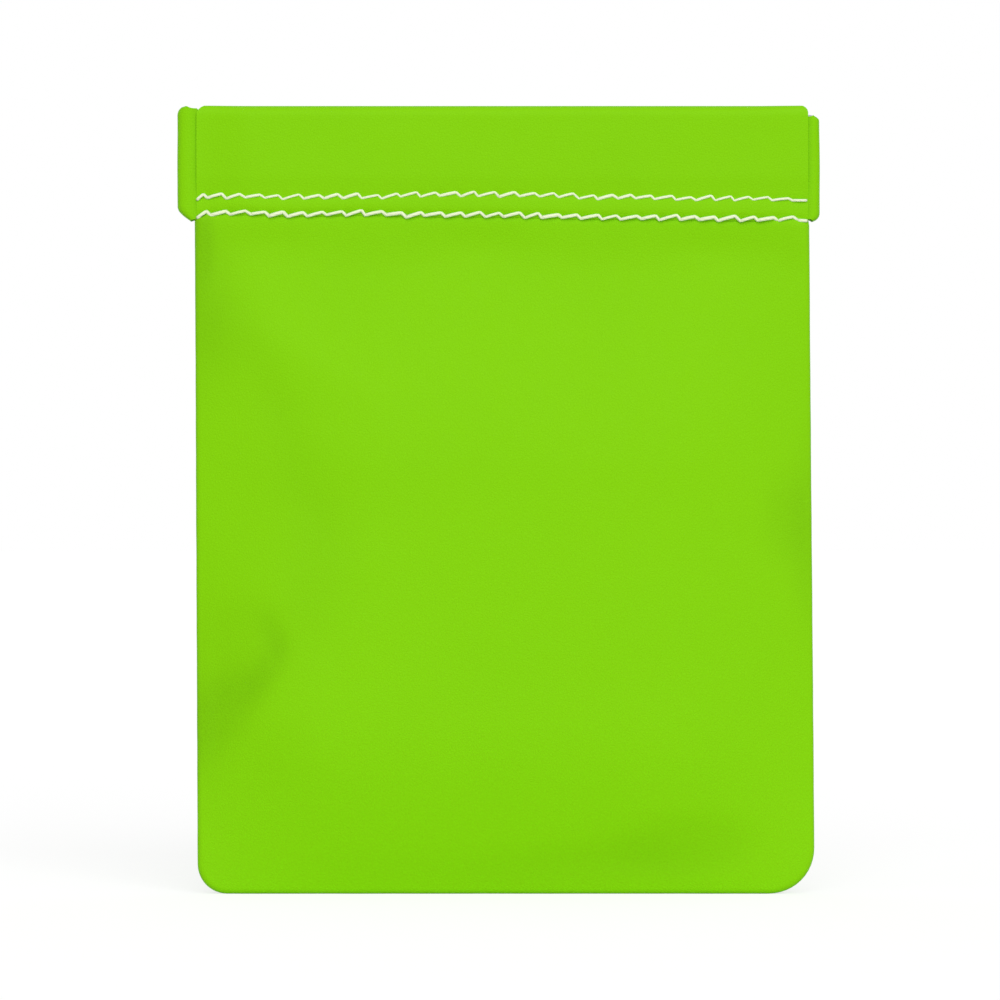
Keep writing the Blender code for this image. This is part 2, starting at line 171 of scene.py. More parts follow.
# How much the stitches of a row differ: in place, in the share of the pitch; in drop and rise, in
# shares of their own; in level; and in fullness
PEAK_SPREAD = 0.06
DROP_SPREAD = 0.25
RISE_SPREAD = 0.3
LEVEL_SPREAD = 0.07 * MM
THREAD_FULLNESS = (0.85, 1.2)
LAST_RISE = 0.15  # the last stitch of a row lies almost level
THREAD_RADIUS = {"upper": 0.22 * MM, "lower": 0.26 * MM}
STITCH_PULL = 0.22 * MM
STITCH_PULL_WIDTH = 0.55 * MM
STITCH_PULL_SWING = 0.25  # share of the pull that is felt only at the holes
LOOSE_STITCH = ("lower", 30)  # one stitch of the front's lower row sinks into its hole
LOOSE_SINK = -1.6
BOBBIN_RADIUS = 0.17 * MM
BOBBIN_POINTS = 5  # to a stitch
BOBBIN_REACH = 0.985  # share of the casing's inner wall
BOBBIN_CLEAR = 0.8 * MM  # least height above the inner wall's lower edge
BOBBIN_PROUD = 0.35  # how far it stands off the wall and dips at its holes, in thread radii
BOBBIN_DIP = 0.55
SEAM_THREAD_RADIUS = 0.16 * MM
SEAM_STITCH = 3.0 * MM
SEAM_STITCH_RISE = 0.34 * MM
SEAM_STITCH_SINK = 0.22 * MM
SEAM_THREAD_ROWS = range(2, CORNER_ROWS + BODY_ROWS + 3)  # of the panels' grid
BOTTOM_SEAM_STEPS = 160
THREAD_SIDES = 8

# Webs inside the seams: each runs from its own panel's edge (root) past the seam plane into the
# other panel's edge (reach)
WEB_HIDE = 0.2 * MM
WEB_DEPTH = {"front": 0.5 * MM, "back": 0.22 * MM}  # how far inside the start of the rolled edge
WEB_ROOT = 1.0 * MM
WEB_REACH = 1.25 * MM
WEB_BOTTOM_STEPS = 40

# End tabs, which wrap the hinged ends of the spring blades
TAB_HIDE = 0.6 * MM
TAB_CENTRE = 49.9 * MM
TAB_HALF_DEPTH = 1.98 * MM
TAB_SQUARENESS = 0.52  # below 1, the wrap is flatter front and back, and turns sharper at its end
TAB_WRAP = math.radians(94)
TAB_REACH = {"left": 2.6 * MM, "right": 1.44 * MM}
TAB_LOW = {"left": 109.6 * MM, "right": 109.6 * MM}
TAB_HIGH = {"left": 127.75 * MM, "right": 126.3 * MM}
# Corners of the tabs: width, height, and how round they are (2 is round, 1 is a straight chamfer)
TAB_LOW_CORNER = {"left": (2.2 * MM, 1.8 * MM, 1.25), "right": (1.0 * MM, 1.0 * MM, 2)}
TAB_HIGH_CORNER = {"left": (1.1 * MM, 1.2 * MM, 2), "right": (1.2 * MM, 0.6 * MM, 1.4)}
# How far the top of a tab falls towards its casing
TAB_TOP_FALL = {"left": 0.15 * MM, "right": 0.0}
TAB_TOP_SHARE = 0.25  # share of a tab's height in which it falls
TAB_WAVE = 0.1 * MM  # unevenness of a tab's end
TAB_WAVES = 140  # to the metre
TAB_RUB_FOCUS = 3  # the higher it is, the closer the rub keeps to the very end
TAB_EVENNESS = 0.35  # 1 spaces a tab's rows evenly, 0 crowds them towards its corners
# painted shade on a tab where it runs under its casing
TAB_PAINTED_SHADE = 0.55  # how much a tab is darkened where it runs under its casing
TAB_SHADE_WIDTH = 0.5 * MM
TAB_COLUMNS = 40
TAB_ROWS = 40

# Spring blades
BLADE_THICKNESS = 0.45 * MM
BLADE_DEPTH = 1.95 * MM
BLADE_STRAIGHT = 46.1 * MM
PIN_X = 50 * MM
# The pin turns with the front blade, and has play in the back blade's knuckles
KNUCKLE_RADIUS = {"front": 0.72 * MM, "back": 1.12 * MM}
KNUCKLE_END = math.radians(-150)
BLADE_LEVELS = [z * MM for z in (115, 115.4, 118.6, 118.9, 122.1, 122.4, 125.6, 126)]
BLADE_FINGERS = {"front": (3,), "back": (1, 5)}  # the bands of BLADE_LEVELS that reach the pin
BLADE_STEPS = 32
CRANK_STEPS = 8
KNUCKLE_STEPS = 14

# Dents in each panel, in millimetres and degrees: x, z, half width, half height, tilt, how crisp
# the rim is, depth, and how much painted shade darkens the leatherette there
DENTS = {
    "front": (
        (-50.5, 96, 6.2, 14, 0, 1.3, 0, 0.7),
        (-48.6, 107, 1.9, 8, 0, 1.5, 0, 0.7),
        (-44.5, 92, 5, 6, 0, 1.5, 0, 0.22),
        (-46, 29, 9, 4.8, -55, 1.8, 0.3, 0.65),
        (-48.5, 31.5, 5, 5, 0, 1.5, 0, 0.25),
        (-42.3, 32.8, 4.2, 3.2, -30, 1.5, 0.05, 0.2),
        (-38.2, 36, 5, 2.3, -60, 1.3, 0.1, 0.65),
        (-36.8, 42, 4.2, 2, 66, 1.2, 0.08, 0.5),
        (-44.5, 40.5, 9, 6.5, -12, 2, 0.1, 0.2),
        (-49.8, 25, 3.5, 9, -15, 1, 0, 0.42),
        (-36.5, 79, 3.5, 14, -20, 1, 0.12, 0.2),
        (-29.5, 62, 4.5, 8, -28, 1, 0.12, 0.15),
        (-30.5, 50, 5, 10, 5, 1, 0.12, 0.18),
        (50, 59, 3.2, 15, 0, 1.5, 0, 0.55),
        (46.2, 61.3, 3.6, 7.5, 0, 1.5, 0, 0.42),
        (29.5, 7.3, 12, 5.2, -6, 2, 0.25, 0.36),
        (12, 4.6, 18, 3.8, -6, 1.5, 0.15, 0.26),
        (-14, 3.5, 34, 3.5, 0, 1, 0, 0.12),
    ),
    "back": (
        (44, 88, 9, 16, 15, 1, 0.8, 0.4),
        (-42, 62, 9, 18, -12, 1.5, 0.6, 0.4),
        (12, 40, 20, 12, 25, 1, 0.3, 0.2),
        (-20, 10, 20, 5, -10, 1, 0.4, 0.35),
        (49, 30, 8, 12, 0, 1.5, 0.6, 0.45),
    ),
}
DENT_FADE = {"seam": 3 * MM, "bottom": 6 * MM, "mouth": 8 * MM}  # in which dents run out
# Puckers under the casing and ripples along the seams: height, fade, and number to the metre
PUCKER = 0.12 * MM
PUCKER_FADE = 6 * MM
PUCKERS = 160
RIPPLE = 0.05 * MM
RIPPLE_FADE = 4 * MM
RIPPLES = 190
NOISE_SLICE = {"casing": 1, "pucker": 3, "tab": 4, "ripple": 5}  # so that no two waves agree

# Colours, linear
LIME = (0.243, 0.659, 0.0008, 1)
# darker lime: for the mottle, the cut edges, and the painted shade in the grain's creases
LIME_DEEP = (0.225, 0.628, 0.0006, 1)
# painted shade, laid over the panels' dents and on the tabs under the casings
LIME_PAINTED_SHADE = (0.196, 0.54, 0.0006, 1)
LIME_RUBBED = (0.275, 0.69, 0.012, 1)
LIME_CORE = (0.19, 0.5, 0.01, 1)
BACKING_PALE = (0.62, 0.68, 0.5, 1)
BACKING_SHADE = (0.42, 0.5, 0.3, 1)
# pale cream thread, tinted lime by painted green bounce light from the leatherette
THREAD_WHITE = (0.93, 0.98, 0.74, 1)
THREAD_SHADE = (0.84, 0.92, 0.6, 1)
THREAD_LIME = (0.2, 0.56, 0.01, 1)
THREAD_LIME_SHADE = (0.13, 0.38, 0.006, 1)
STEEL = (0.55, 0.56, 0.58, 1)
STEEL_DARK = (0.4, 0.41, 0.43, 1)
WHITE = (1, 1, 1, 1)
FLOOR_GREY = (0.8, 0.8, 0.8, 1)  # as it lights the pouch
FLOOR_SEEN = (0.4, 0.4, 0.4, 1)  # as it is seen, with its glow

# Finishes: roughness at the two ends of a pattern, specular level, depth and strength of relief
LEATHER_ROUGHNESS = (0.5, 0.62)
LEATHER_SPECULAR = 0.07
LEATHER_RELIEF = (0.04 * MM, 0.45)
PEBBLES_PER_METRE = 1900.0
# painted shade in the creases of the grain
CREASE_SHADE = 0.35
RUB_TONE = 0.5
RUB_POLISH = 0.1
BACKING_ROUGHNESS = (0.85, 0.98)
BACKING_SPECULAR = 0.1
BACKING_SHEEN = 0.15
BACKING_RELIEF = (0.12 * MM, 0.6)
RIBS_PER_METRE = 380.0
CUT_EDGE_ROUGHNESS = (0.75, 0.9)
CUT_EDGE_SPECULAR = 0.1
CUT_EDGE_RELIEF = (0.06 * MM, 0.5)
THREAD_ROUGHNESS = (0.85, 0.65)
THREAD_SPECULAR = 0.15
THREAD_RELIEF = (0.06 * MM, 0.5)
THREAD_TURNS = 1.6
THREAD_PLIES = 3.0
THREAD_SOIL = 0.25
STEEL_ROUGHNESS = (0.22, 0.42)
STEEL_RELIEF = (0.01 * MM, 0.4)
STEEL_LINES = (60, 2600, 2600)  # to the metre, along the strip and across it

# Stage
FLOOR_HALF_WIDTH = 6
FLOOR_GLOW = 0.72
WORLD_STRENGTH = (0.46, 1.0)  # as it lights the pouch, and as it is seen
KEY_STRENGTH = 1.775
KEY_SPREAD = math.radians(50)
KEY_DIRECTION = (-0.12, 0.8, -0.42)
CAMERA_PLACE = (-0.32 * MM, -904.3 * MM, 64.0 * MM)
CAMERA_SENSOR = 36  # millimetres, as is the lens
CAMERA_LENS = 200
CAMERA_CLIP = (0.05, 50)


def smooth(share):
    """Eases a share from 0 to 1."""
    share = min(max(share, 0.0), 1.0)
    return share * share * (3 - 2 * share)


def swell(share):
    """Rises from 0 with a slope and levels out at 1, as filled leatherette does from its seam."""
    return math.sin(min(max(share, 0.0), 1.0) * math.pi / 2)


def squared(part):
    """A sine or cosine that is fuller towards its ends, for a flattened round."""
    return math.copysign(abs(part) ** TAB_SQUARENESS, part)


def between(low, high, share):
    """The value at a share of the way from low to high."""
    return low + (high - low) * share


def follow(points, place):
    """Value at a place of a smooth line through points, all in millimetres; metres in and out."""
    for (place_0, value_0), (place_1, value_1) in zip(points, points[1:]):
        if place / MM <= place_1 or place_1 == points[-1][0]:
            share = smooth((place / MM - place_0) / (place_1 - place_0))
            return between(value_0, value_1, share) * MM


def row_line(face, row, x):
    """Height of a row of stitches at x; the back's rows are the front's, seen from behind."""
    return follow(ROW_LINES[row], -x * FACES[face])


def hem_line(face, x):
    """Height of a casing's lower edge at x."""
    return row_line(face, "lower", x) - HEM_BELOW_ROW


def stitch_pull(face, x, z):
    """How far the stitches pull the casing in at a point: deepest at the holes."""
    pull = 0.0
    for row, peaks in STITCH_PEAKS.items():
        turn = (-x * FACES[face] - peaks[1] * MM) / STITCH_PITCH - STITCH_DROP
        hole = 1 - STITCH_PULL_SWING + STITCH_PULL_SWING * math.cos(2 * math.pi * turn)
        pull += hole * math.exp(-(((z - row_line(face, row, x)) / STITCH_PULL_WIDTH) ** 2))
    return STITCH_PULL * pull


def casing_depth(face, side, x, z):
    """Depth of the middle of a casing's outer wall."""
    bulge = smooth((z - CASING_BULGE_START) / CASING_BULGE_HEIGHT)
    depth = between(CASING_ROWS_DEPTH, CASING_DEPTH, bulge)
    depth -= HEM_PRESS * (1 - smooth((z - hem_line(face, x)) / HEM_PRESS_HEIGHT))
    depth -= stitch_pull(face, x, z)
    depth -= END_PINCH * smooth((abs(x) - CASING_END[side] + END_REACH) / END_REACH)
    level = smooth((CASING_FOLD_Z - z) / CASING_WAVE_FADE)
    along, up = CASING_WAVES
    slice_y = FACES[face] * NOISE_SLICE["casing"]
    return depth + level * CASING_WAVE * noise.noise(Vector((x * along, slice_y, z * up)))


def dents(face, x, z):
    """Depth of all the dents of a panel at a point, and how much painted shade darkens it."""
    total, shaded_tone = 0.0, 0.0
    for dent_x, dent_z, width, height, tilt, crisp, depth, dark in DENTS[face]:
        turn = math.radians(tilt)
        across, up = x / MM - dent_x, z / MM - dent_z
        along = (across * math.cos(turn) - up * math.sin(turn)) / width
        aside = (up * math.cos(turn) + across * math.sin(turn)) / height
        share = math.exp(-((along**2 + aside**2) ** crisp))
        total += depth * MM * share
        shaded_tone += dark * share
    return total, shaded_tone


def seam_edge(side, z):
    """Half the pouch's width at a height, out to the rolled edge."""
    return between(SEAM_EDGE_LOW[side], SEAM_EDGE_HIGH[side], z / PANEL_TOP)


def rim_depth(z):
    """Depth of a panel's rim, where it starts to roll in."""
    return RIM_DEPTH + RIM_LIFT * smooth((z - RIM_LIFT_START) / RIM_LIFT_HEIGHT)


def rim_reach(side, z):
    """Half width of a panel at a height, up to where its edge starts to roll in."""
    return seam_edge(side, z) - PANEL_HIDE / 2 - (rim_depth(z) - ALLOWANCE_DEPTH) / 2


def panel_depth(face, side, x, z):
    """Depth of the middle of a panel's hide: the belly, less its dents, tucked in at the mouth."""
    hem = hem_line(face, x)
    rim = rim_depth(z)
    from_seam = rim_reach(side, z) - abs(x)
    mouth = between(MOUTH_FULLNESS, 1, smooth((hem - z) / MOUTH_SLOPE))
    slope = follow(SIDE_SLOPES[face][side], z)
    belly = swell(from_seam / slope) * swell((z - SEAM_INSET) / BOTTOM_SLOPE) * mouth
    depth = rim + (BELLY_DEPTH - rim) * belly
    held = smooth(from_seam / DENT_FADE["seam"]) * smooth(z / DENT_FADE["bottom"])
    held *= smooth((hem - z) / DENT_FADE["mouth"])
    depth -= dents(face, x, z)[0] * held
    gaps = ((x / MM - patch) / NECK_PATCH_WIDTH for patch in NECK_PATCHES[face])
    drawn_in = sum(math.exp(-(gap**2)) for gap in gaps) * smooth(from_seam / NECK_FADE)
    depth -= NECK * drawn_in * math.exp(-(((hem - NECK_DROP - z) / NECK_HEIGHT) ** 2))
    slice_y = FACES[face] * NOISE_SLICE["pucker"]
    pucker = noise.noise(Vector((x * PUCKERS, slice_y, 0))) * PUCKER
    depth += pucker * max(0, 1 - max(0, hem - z) / PUCKER_FADE)
    edge_gap = min(from_seam, z - SEAM_INSET)
    slice_y = FACES[face] * NOISE_SLICE["ripple"]
    ripple = noise.noise(Vector((x * RIPPLES, slice_y, z * RIPPLES))) * RIPPLE
    depth += ripple * max(0, 1 - max(0, edge_gap) / RIPPLE_FADE)
    tucked = smooth((z - hem + TUCK_BELOW) / (TUCK_BELOW + TUCK_ABOVE))
    return between(depth, PANEL_TUCK_DEPTH, tucked)


def new_piece(name, mesh_maker, materials):
    """A piece at the origin from a finished bmesh, with its materials in order."""
    mesh = bpy.data.meshes.new(name)
    mesh_maker.to_mesh(mesh)
    mesh_maker.free()
    for material in materials:
        mesh.materials.append(material)
    mesh.shade_smooth()
    piece = bpy.data.objects.new(name, mesh)
    bpy.context.scene.collection.objects.link(piece)
    return piece


def face_outwards(mesh_maker, seen_face, outwards):
    """Makes all faces agree and turns them so that seen_face looks along outwards."""
    bmesh.ops.recalc_face_normals(mesh_maker, faces=mesh_maker.faces)
    seen_face.normal_update()
    if seen_face.normal.dot(outwards) < 0:
        bmesh.ops.reverse_faces(mesh_maker, faces=mesh_maker.faces)


def thicken(piece, thickness, pared=None, back_slot=1, rim_slot=2):
    """Gives a sheet its thickness about its middle, with slots for its reverse and cut edges."""
    wall = piece.modifiers.new("thickness", "SOLIDIFY")
    wall.thickness = thickness
    wall.offset = 0
    wall.material_offset = back_slot
    wall.material_offset_rim = rim_slot
    if pared is not None:
        wall.vertex_group = pared
        wall.thickness_vertex_group = HEM_SKIVE
    scene_graph = bpy.context.evaluated_depsgraph_get()
    mesh = bpy.data.meshes.new_from_object(piece.evaluated_get(scene_graph), depsgraph=scene_graph)
    piece.modifiers.clear()
    mesh.set_sharp_from_angle(angle=SHARP_EDGE)
    piece.data = mesh


def bend_with_mouth(piece, face, side):
    """Looks up a half's fold and the direction across it, and bakes the half's placement into its
    mesh; it bends nothing.
    """
    fold = next(joint for joint in frame["joints"] if joint["name"] == f"{face}_{side}_fold")
    along = Vector(fold["axis"]).normalized()
    across = along.cross(Vector((0, 1, 0))).normalized()
    if across.x * SIDES[side] < 0:
        across = -across
    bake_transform(piece)


def panel_row(side, row):
    """Height, outward turn from straight down, and half width of one row of a panel's grid."""
    radius = CORNER_RADIUS[side] - SEAM_INSET
    if row <= CORNER_ROWS:
        turn = math.pi / 2 * row / CORNER_ROWS
        z = SEAM_INSET + radius * (1 - math.cos(turn))
        return z, turn, seam_edge(side, z) - CORNER_RADIUS[side] + radius * math.sin(turn)
    if row <= CORNER_ROWS + BODY_ROWS:
        z = between(CORNER_RADIUS[side], TUCK_START, (row - CORNER_ROWS) / BODY_ROWS)
    else:
        z = between(TUCK_START, PANEL_TOP, (row - CORNER_ROWS - BODY_ROWS) / TUCK_ROWS)
    reach = rim_reach(side, z)
    taper = smooth((z - PANEL_TAPER_START) / PANEL_TAPER_HEIGHT)
    return z, math.pi / 2, between(reach, PANEL_TOP_REACH, taper)


def panel_half(face, side, materials):
    """Half of a panel: a swollen sheet that rolls in at the seam and ends in a sewn allowance."""
    rows = CORNER_ROWS + BODY_ROWS + TUCK_ROWS
    sign_x, sign_y = SIDES[side], FACES[face]
    bm = bmesh.new()
    bmesh.ops.create_grid(bm, x_segments=PANEL_COLUMNS, y_segments=rows, size=0.5)
    rim = bm.verts.layers.float_vector.new("rim")
    outward = bm.verts.layers.float_vector.new("outward")
    rub = bm.verts.layers.float.new("rub")
    painted_shade = bm.verts.layers.float.new("painted_shade")
    seam = set()
    for vert in bm.verts:
        column, row = round((vert.co.x + 0.5) * PANEL_COLUMNS), round((vert.co.y + 0.5) * rows)
        share = column / PANEL_COLUMNS
        z, turn, reach = panel_row(side, row)
        x = sign_x * reach * between(share, math.sin(share * math.pi / 2), EDGE_CROWDING)
        vert.co = (x, sign_y * panel_depth(face, side, x, z), z)
        vert[rim] = vert.co
        # painted shade over the dents
        vert[painted_shade] = dents(face, x, z)[1]
        vert[outward] = (sign_x * math.sin(turn), 0, -math.cos(turn))
        if row == 0 or (column == PANEL_COLUMNS and z <= SEAM_TOP):
            seam.add(vert)
    seen = min(bm.faces, key=lambda f: f.calc_center_median().length)
    face_outwards(bm, seen, Vector((0, sign_y, 0)))
    edges = [edge for edge in bm.edges if edge.is_boundary and seam.issuperset(edge.verts)]
    for step in range(1, ROLL_STEPS + ALLOWANCE_STEPS + 1):
        made = bmesh.ops.extrude_edge_only(bm, edges=edges)["geom"]
        edges = [part for part in made if isinstance(part, bmesh.types.BMEdge)]
        turn = math.pi * min(step / ROLL_STEPS, 1)
        inside = ALLOWANCE * max(step - ROLL_STEPS, 0) / ALLOWANCE_STEPS
        for vert in (part for part in made if isinstance(part, bmesh.types.BMVert)):
            start = vert[rim]
            radius = (abs(start.y) - ALLOWANCE_DEPTH) / 2
            depth = abs(start.y) - radius * (1 - math.cos(turn))
            vert.co = start + vert[outward] * (radius * math.sin(turn) - inside)
            vert.co.y = sign_y * depth
            vert[rub] = math.sin(turn) if inside == 0 else 0
    piece = new_piece(f"{face}_body_{side}", bm, materials)
    thicken(piece, PANEL_HIDE)
    bend_with_mouth(piece, face, side)
    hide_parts(f"{face}_panel_{side}", f"{face}_panel_middle")


def casing_half(face, side, materials):
    """Half of a casing: a strip folded over the mouth, bulged by its blade and held by two rows."""
    rows = OUTER_ROWS + FOLD_ROWS + INNER_ROWS
    sign_x, sign_y = SIDES[side], FACES[face]
    corner = CASING_CORNER[side]
    middle = (CASING_DEPTH + CASING_INNER_DEPTH) / 2
    bm = bmesh.new()
    bmesh.ops.create_grid(bm, x_segments=CASING_COLUMNS, y_segments=rows, size=0.5)
    rub = bm.verts.layers.float.new("rub")
    weights = bm.verts.layers.deform.verify()
    for vert in bm.verts:
        column, row = round((vert.co.x + 0.5) * CASING_COLUMNS), round((vert.co.y + 0.5) * rows)
        turn = math.pi * min(max((row - OUTER_ROWS) / FOLD_ROWS, 0), 1)
        share = column / CASING_COLUMNS
        fold_z = CASING_FOLD_Z + CASING_FOLD_RADIUS * math.sin(turn)
        above = max(0, fold_z + CASING_HIDE / 2 * math.sin(turn) - CASING_TOP + corner)
        reach = CASING_END[side] - corner + math.sqrt(max(0, corner**2 - above**2))
        reach = between(reach, CASING_INNER_END, smooth(turn / math.pi * 2 - 1))
        x = sign_x * reach * share
        near_end = smooth((abs(x) - CASING_END[side] + END_REACH) / END_REACH)
        full = 1 - (1 - END_PARING) * near_end
        if row <= OUTER_ROWS:
            z = between(hem_line(face, x), CASING_FOLD_Z, row / OUTER_ROWS)
            depth = casing_depth(face, side, x, z)
        else:
            z = fold_z + (1 - full) * CASING_HIDE / 2 * math.sin(turn)
            depth = middle + CASING_FOLD_RADIUS * math.cos(turn)
            pinch = casing_depth(face, side, x, CASING_FOLD_Z) - CASING_DEPTH
            depth += pinch * max(0, math.cos(turn))
        if row > OUTER_ROWS + FOLD_ROWS:
            down = (row - OUTER_ROWS - FOLD_ROWS) / INNER_ROWS
            z = between(CASING_FOLD_Z, CASING_INNER_LOW, down)
        vert.co = (x, sign_y * depth, z)
        vert[rub] = math.sin(turn)
        if row <= OUTER_ROWS:
            full *= smooth((z - hem_line(face, x)) / HEM_SKIVE_HEIGHT)
        vert[weights][0] = full
    seen = min(bm.faces, key=lambda f: f.calc_center_median().z)
    face_outwards(bm, seen, Vector((0, sign_y, 0)))
    piece = new_piece(f"{face}_casing_strip_{side}", bm, materials)
    piece.vertex_groups.new(name="pared")
    thicken(piece, CASING_HIDE, pared="pared")
    bend_with_mouth(piece, face, side)
    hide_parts(f"{face}_casing_{side}", f"{face}_casing_middle")


def thread(name, points, radius, material, fullness=None):
    """A round thread swept along points, with a UV map along it for the twist of its plies."""
    def ring_at(index):
        ahead = points[min(index + 1, len(points) - 1)] - points[max(index - 1, 0)]
        along = ahead.normalized()
        side = along.cross(Vector((0, 1, 0))).normalized()
        turned = Matrix((side, side.cross(along), along)).transposed().to_4x4()
        scale = Matrix.Scale(fullness[index] if fullness else 1, 4)
        return Matrix.Translation(points[index]) @ turned @ scale

    bm = bmesh.new()
    around = bm.verts.layers.int.new("around")
    run = bm.verts.layers.float.new("run")
    place = ring_at(0)
    first = bmesh.ops.create_circle(
        bm, cap_ends=True, segments=THREAD_SIDES, radius=radius, matrix=place
    )
    for index, vert in enumerate(first["verts"]):
        vert[around] = index
    edges = list(bm.edges)
    length = 0.0
    for index in range(1, len(points)):
        length += (points[index] - points[index - 1]).length
        made = bmesh.ops.extrude_edge_only(bm, edges=edges)["geom"]
        edges = [part for part in made if isinstance(part, bmesh.types.BMEdge)]
        ring = [part for part in made if isinstance(part, bmesh.types.BMVert)]
        next_place = ring_at(index)
        bmesh.ops.transform(bm, matrix=next_place @ place.inverted(), verts=ring)
        place = next_place
        for vert in ring:
            vert[run] = length
    bmesh.ops.contextual_create(bm, geom=edges)
    bmesh.ops.recalc_face_normals(bm, faces=bm.faces)
    twist = bm.loops.layers.uv.new("UVMap")
    for quad in bm.faces:
        turns = [vert[around] for vert in quad.verts]
        wraps = max(turns) - min(turns) > THREAD_SIDES / 2
        for loop in quad.loops:
            turn = loop.vert[around]
            if wraps and turn < THREAD_SIDES / 2:
                turn += THREAD_SIDES
            loop[twist].uv = (loop.vert[run] / (2 * math.pi * radius), turn / THREAD_SIDES)
    return new_piece(name, bm, [material])


def topstitch_points(row, seed):
    """The points of each stitch of a row, from its left end: a long rise, then a short drop."""
    first, second, last = (place * MM for place in STITCH_PEAKS[row])
    others = range(STITCH_COUNT - 1)
    peaks = [first] + [between(second, last, step / (STITCH_COUNT - 2)) for step in others]
    peaks = [peak + STITCH_PITCH * seed.uniform(-PEAK_SPREAD, PEAK_SPREAD) for peak in peaks]
    starts = [-STITCH_REACH]
    for peak in peaks:
        drop = STITCH_PITCH * STITCH_DROP * seed.uniform(1 - DROP_SPREAD, 1 + DROP_SPREAD)
        starts.append(peak + drop)
    stitches = []
    for number, (start, end) in enumerate(zip(starts, peaks + [STITCH_REACH])):
        rise = STITCH_RISE * seed.uniform(1 - RISE_SPREAD, 1 + RISE_SPREAD)
        if number == STITCH_COUNT:
            rise *= LAST_RISE
        lift = seed.uniform(-LEVEL_SPREAD, LEVEL_SPREAD)
        full = seed.uniform(*THREAD_FULLNESS)
        stitch = []
        for share, height, proud in STITCH_STROKE:
            x = between(start, end, share)
            z = row_line("front", row, x) + lift + rise * (height - 0.5)
            stitch.append((x, z, proud, full))
        stitches.append(stitch)
    return stitches


def topstitch_row(face, row, material):
    """The two halves of a row of topstitching that lies on a casing's outer wall."""
    sign_y = FACES[face]
    stitches = topstitch_points(row, random.Random(f"{face} {row}"))
    loose_row, loose = LOOSE_STITCH
    if face == "front" and row == loose_row:
        x, z, _, full = stitches[loose][0]
        stitches[loose][0] = (x, z, LOOSE_SINK, full)
    join = stitches[SPLIT_STITCH][:1]
    halves = {-1: stitches[:SPLIT_STITCH] + [join], 1: stitches[SPLIT_STITCH:]}
    radius = THREAD_RADIUS[row]
    for half, part in halves.items():
        side = "left" if half * -sign_y < 0 else "right"
        points, fullness = [], []
        for x, z, proud, full in (point for stitch in part for point in stitch):
            x *= -sign_y
            depth = casing_depth(face, "left" if x < 0 else "right", x, z) + CASING_HIDE / 2
            points.append(Vector((x, sign_y * (depth + proud * radius), z)))
            fullness.append(full)
        piece = thread(f"{face}_{row}_topstitch_{side}", points, radius, material, fullness)
        bend_with_mouth(piece, face, side)
        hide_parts(f"{face}_{row}_stitches_{side}", f"{face}_{row}_stitches_middle")


def bobbin_row(face, row, side, material):
    """The same row's bobbin thread, which shows inside the mouth on the casing's inner wall."""
    sign_x, sign_y = SIDES[side], FACES[face]
    wall = CASING_INNER_DEPTH - CASING_HIDE / 2
    points = []
    steps = round(CASING_INNER_END / STITCH_PITCH * BOBBIN_POINTS)
    for step in range(steps + 1):
        x = sign_x * CASING_INNER_END * BOBBIN_REACH * step / steps
        dip = max(0, math.cos(2 * math.pi * (x + STITCH_REACH) / STITCH_PITCH))
        proud = BOBBIN_RADIUS * (BOBBIN_PROUD - BOBBIN_DIP * dip)
        z = max(row_line(face, row, x), CASING_INNER_LOW + BOBBIN_CLEAR)
        points.append(Vector((x, sign_y * (wall - proud), z)))
    piece = thread(f"{face}_{row}_bobbin_{side}", points, BOBBIN_RADIUS, material)
    bend_with_mouth(piece, face, side)


def seam_stitch_point(place, outward, run):
    """A point of a seam's thread, which shows in the seam's valley between its holes."""
    dip = abs(math.sin(math.pi * run / SEAM_STITCH))
    return place + outward * (SEAM_STITCH_RISE * dip - SEAM_STITCH_SINK)


def seam_threads(material):
    """The threads of the side and bottom seams, in the valley between the panels' edges."""
    for side, sign_x in SIDES.items():
        points = []
        for row in SEAM_THREAD_ROWS:
            z, turn, reach = panel_row(side, row)
            outward = Vector((sign_x * math.sin(turn), 0, -math.cos(turn)))
            points.append(seam_stitch_point(Vector((sign_x * reach, 0, z)), outward, z))
        piece = thread(f"{side}_seam_stitching", points, SEAM_THREAD_RADIUS, material)
        bend_with_mouth(piece, "back", side)
        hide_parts(f"{side}_seam_thread")
    reaches = [-panel_row("left", 1)[2], panel_row("right", 1)[2]]
    points = []
    for step in range(BOTTOM_SEAM_STEPS + 1):
        x = between(*reaches, step / BOTTOM_SEAM_STEPS)
        points.append(seam_stitch_point(Vector((x, 0, SEAM_INSET)), Vector((0, 0, -1)), x))
    piece = thread("bottom_seam_stitching", points, SEAM_THREAD_RADIUS, material)
    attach(piece, "back_middle")
    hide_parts("bottom_seam_thread")


def seam_web(face, side, materials):
    """The web inside a seam, hidden in the rolled edges until the open mouth spreads them."""
    sign_x, sign_y = SIDES[side], FACES[face]
    rows = range(CORNER_ROWS + BODY_ROWS + TUCK_ROWS)
    steps = WEB_BOTTOM_STEPS + sum(panel_row(side, row)[0] <= SEAM_TOP for row in rows)
    sunk = WEB_DEPTH[face]
    bm = bmesh.new()
    bmesh.ops.create_grid(bm, x_segments=1, y_segments=steps - 1, size=0.5)
    for vert in bm.verts:
        step = round((vert.co.y + 0.5) * (steps - 1))
        z, turn, reach = panel_row(side, max(0, step - WEB_BOTTOM_STEPS))
        reach *= min(1, step / WEB_BOTTOM_STEPS)
        across = WEB_ROOT if vert.co.x < 0 else -WEB_REACH
        x = reach - sunk * math.sin(turn)
        vert.co = (sign_x * x, sign_y * across, z + sunk * math.cos(turn))
    seen = max(bm.faces, key=lambda f: f.calc_center_median().z)
    face_outwards(bm, seen, Vector((sign_x, 0, 0)))
    piece = new_piece(f"{face}_seam_web_{side}", bm, materials)
    thicken(piece, WEB_HIDE, back_slot=0, rim_slot=0)
    bend_with_mouth(piece, face, side)


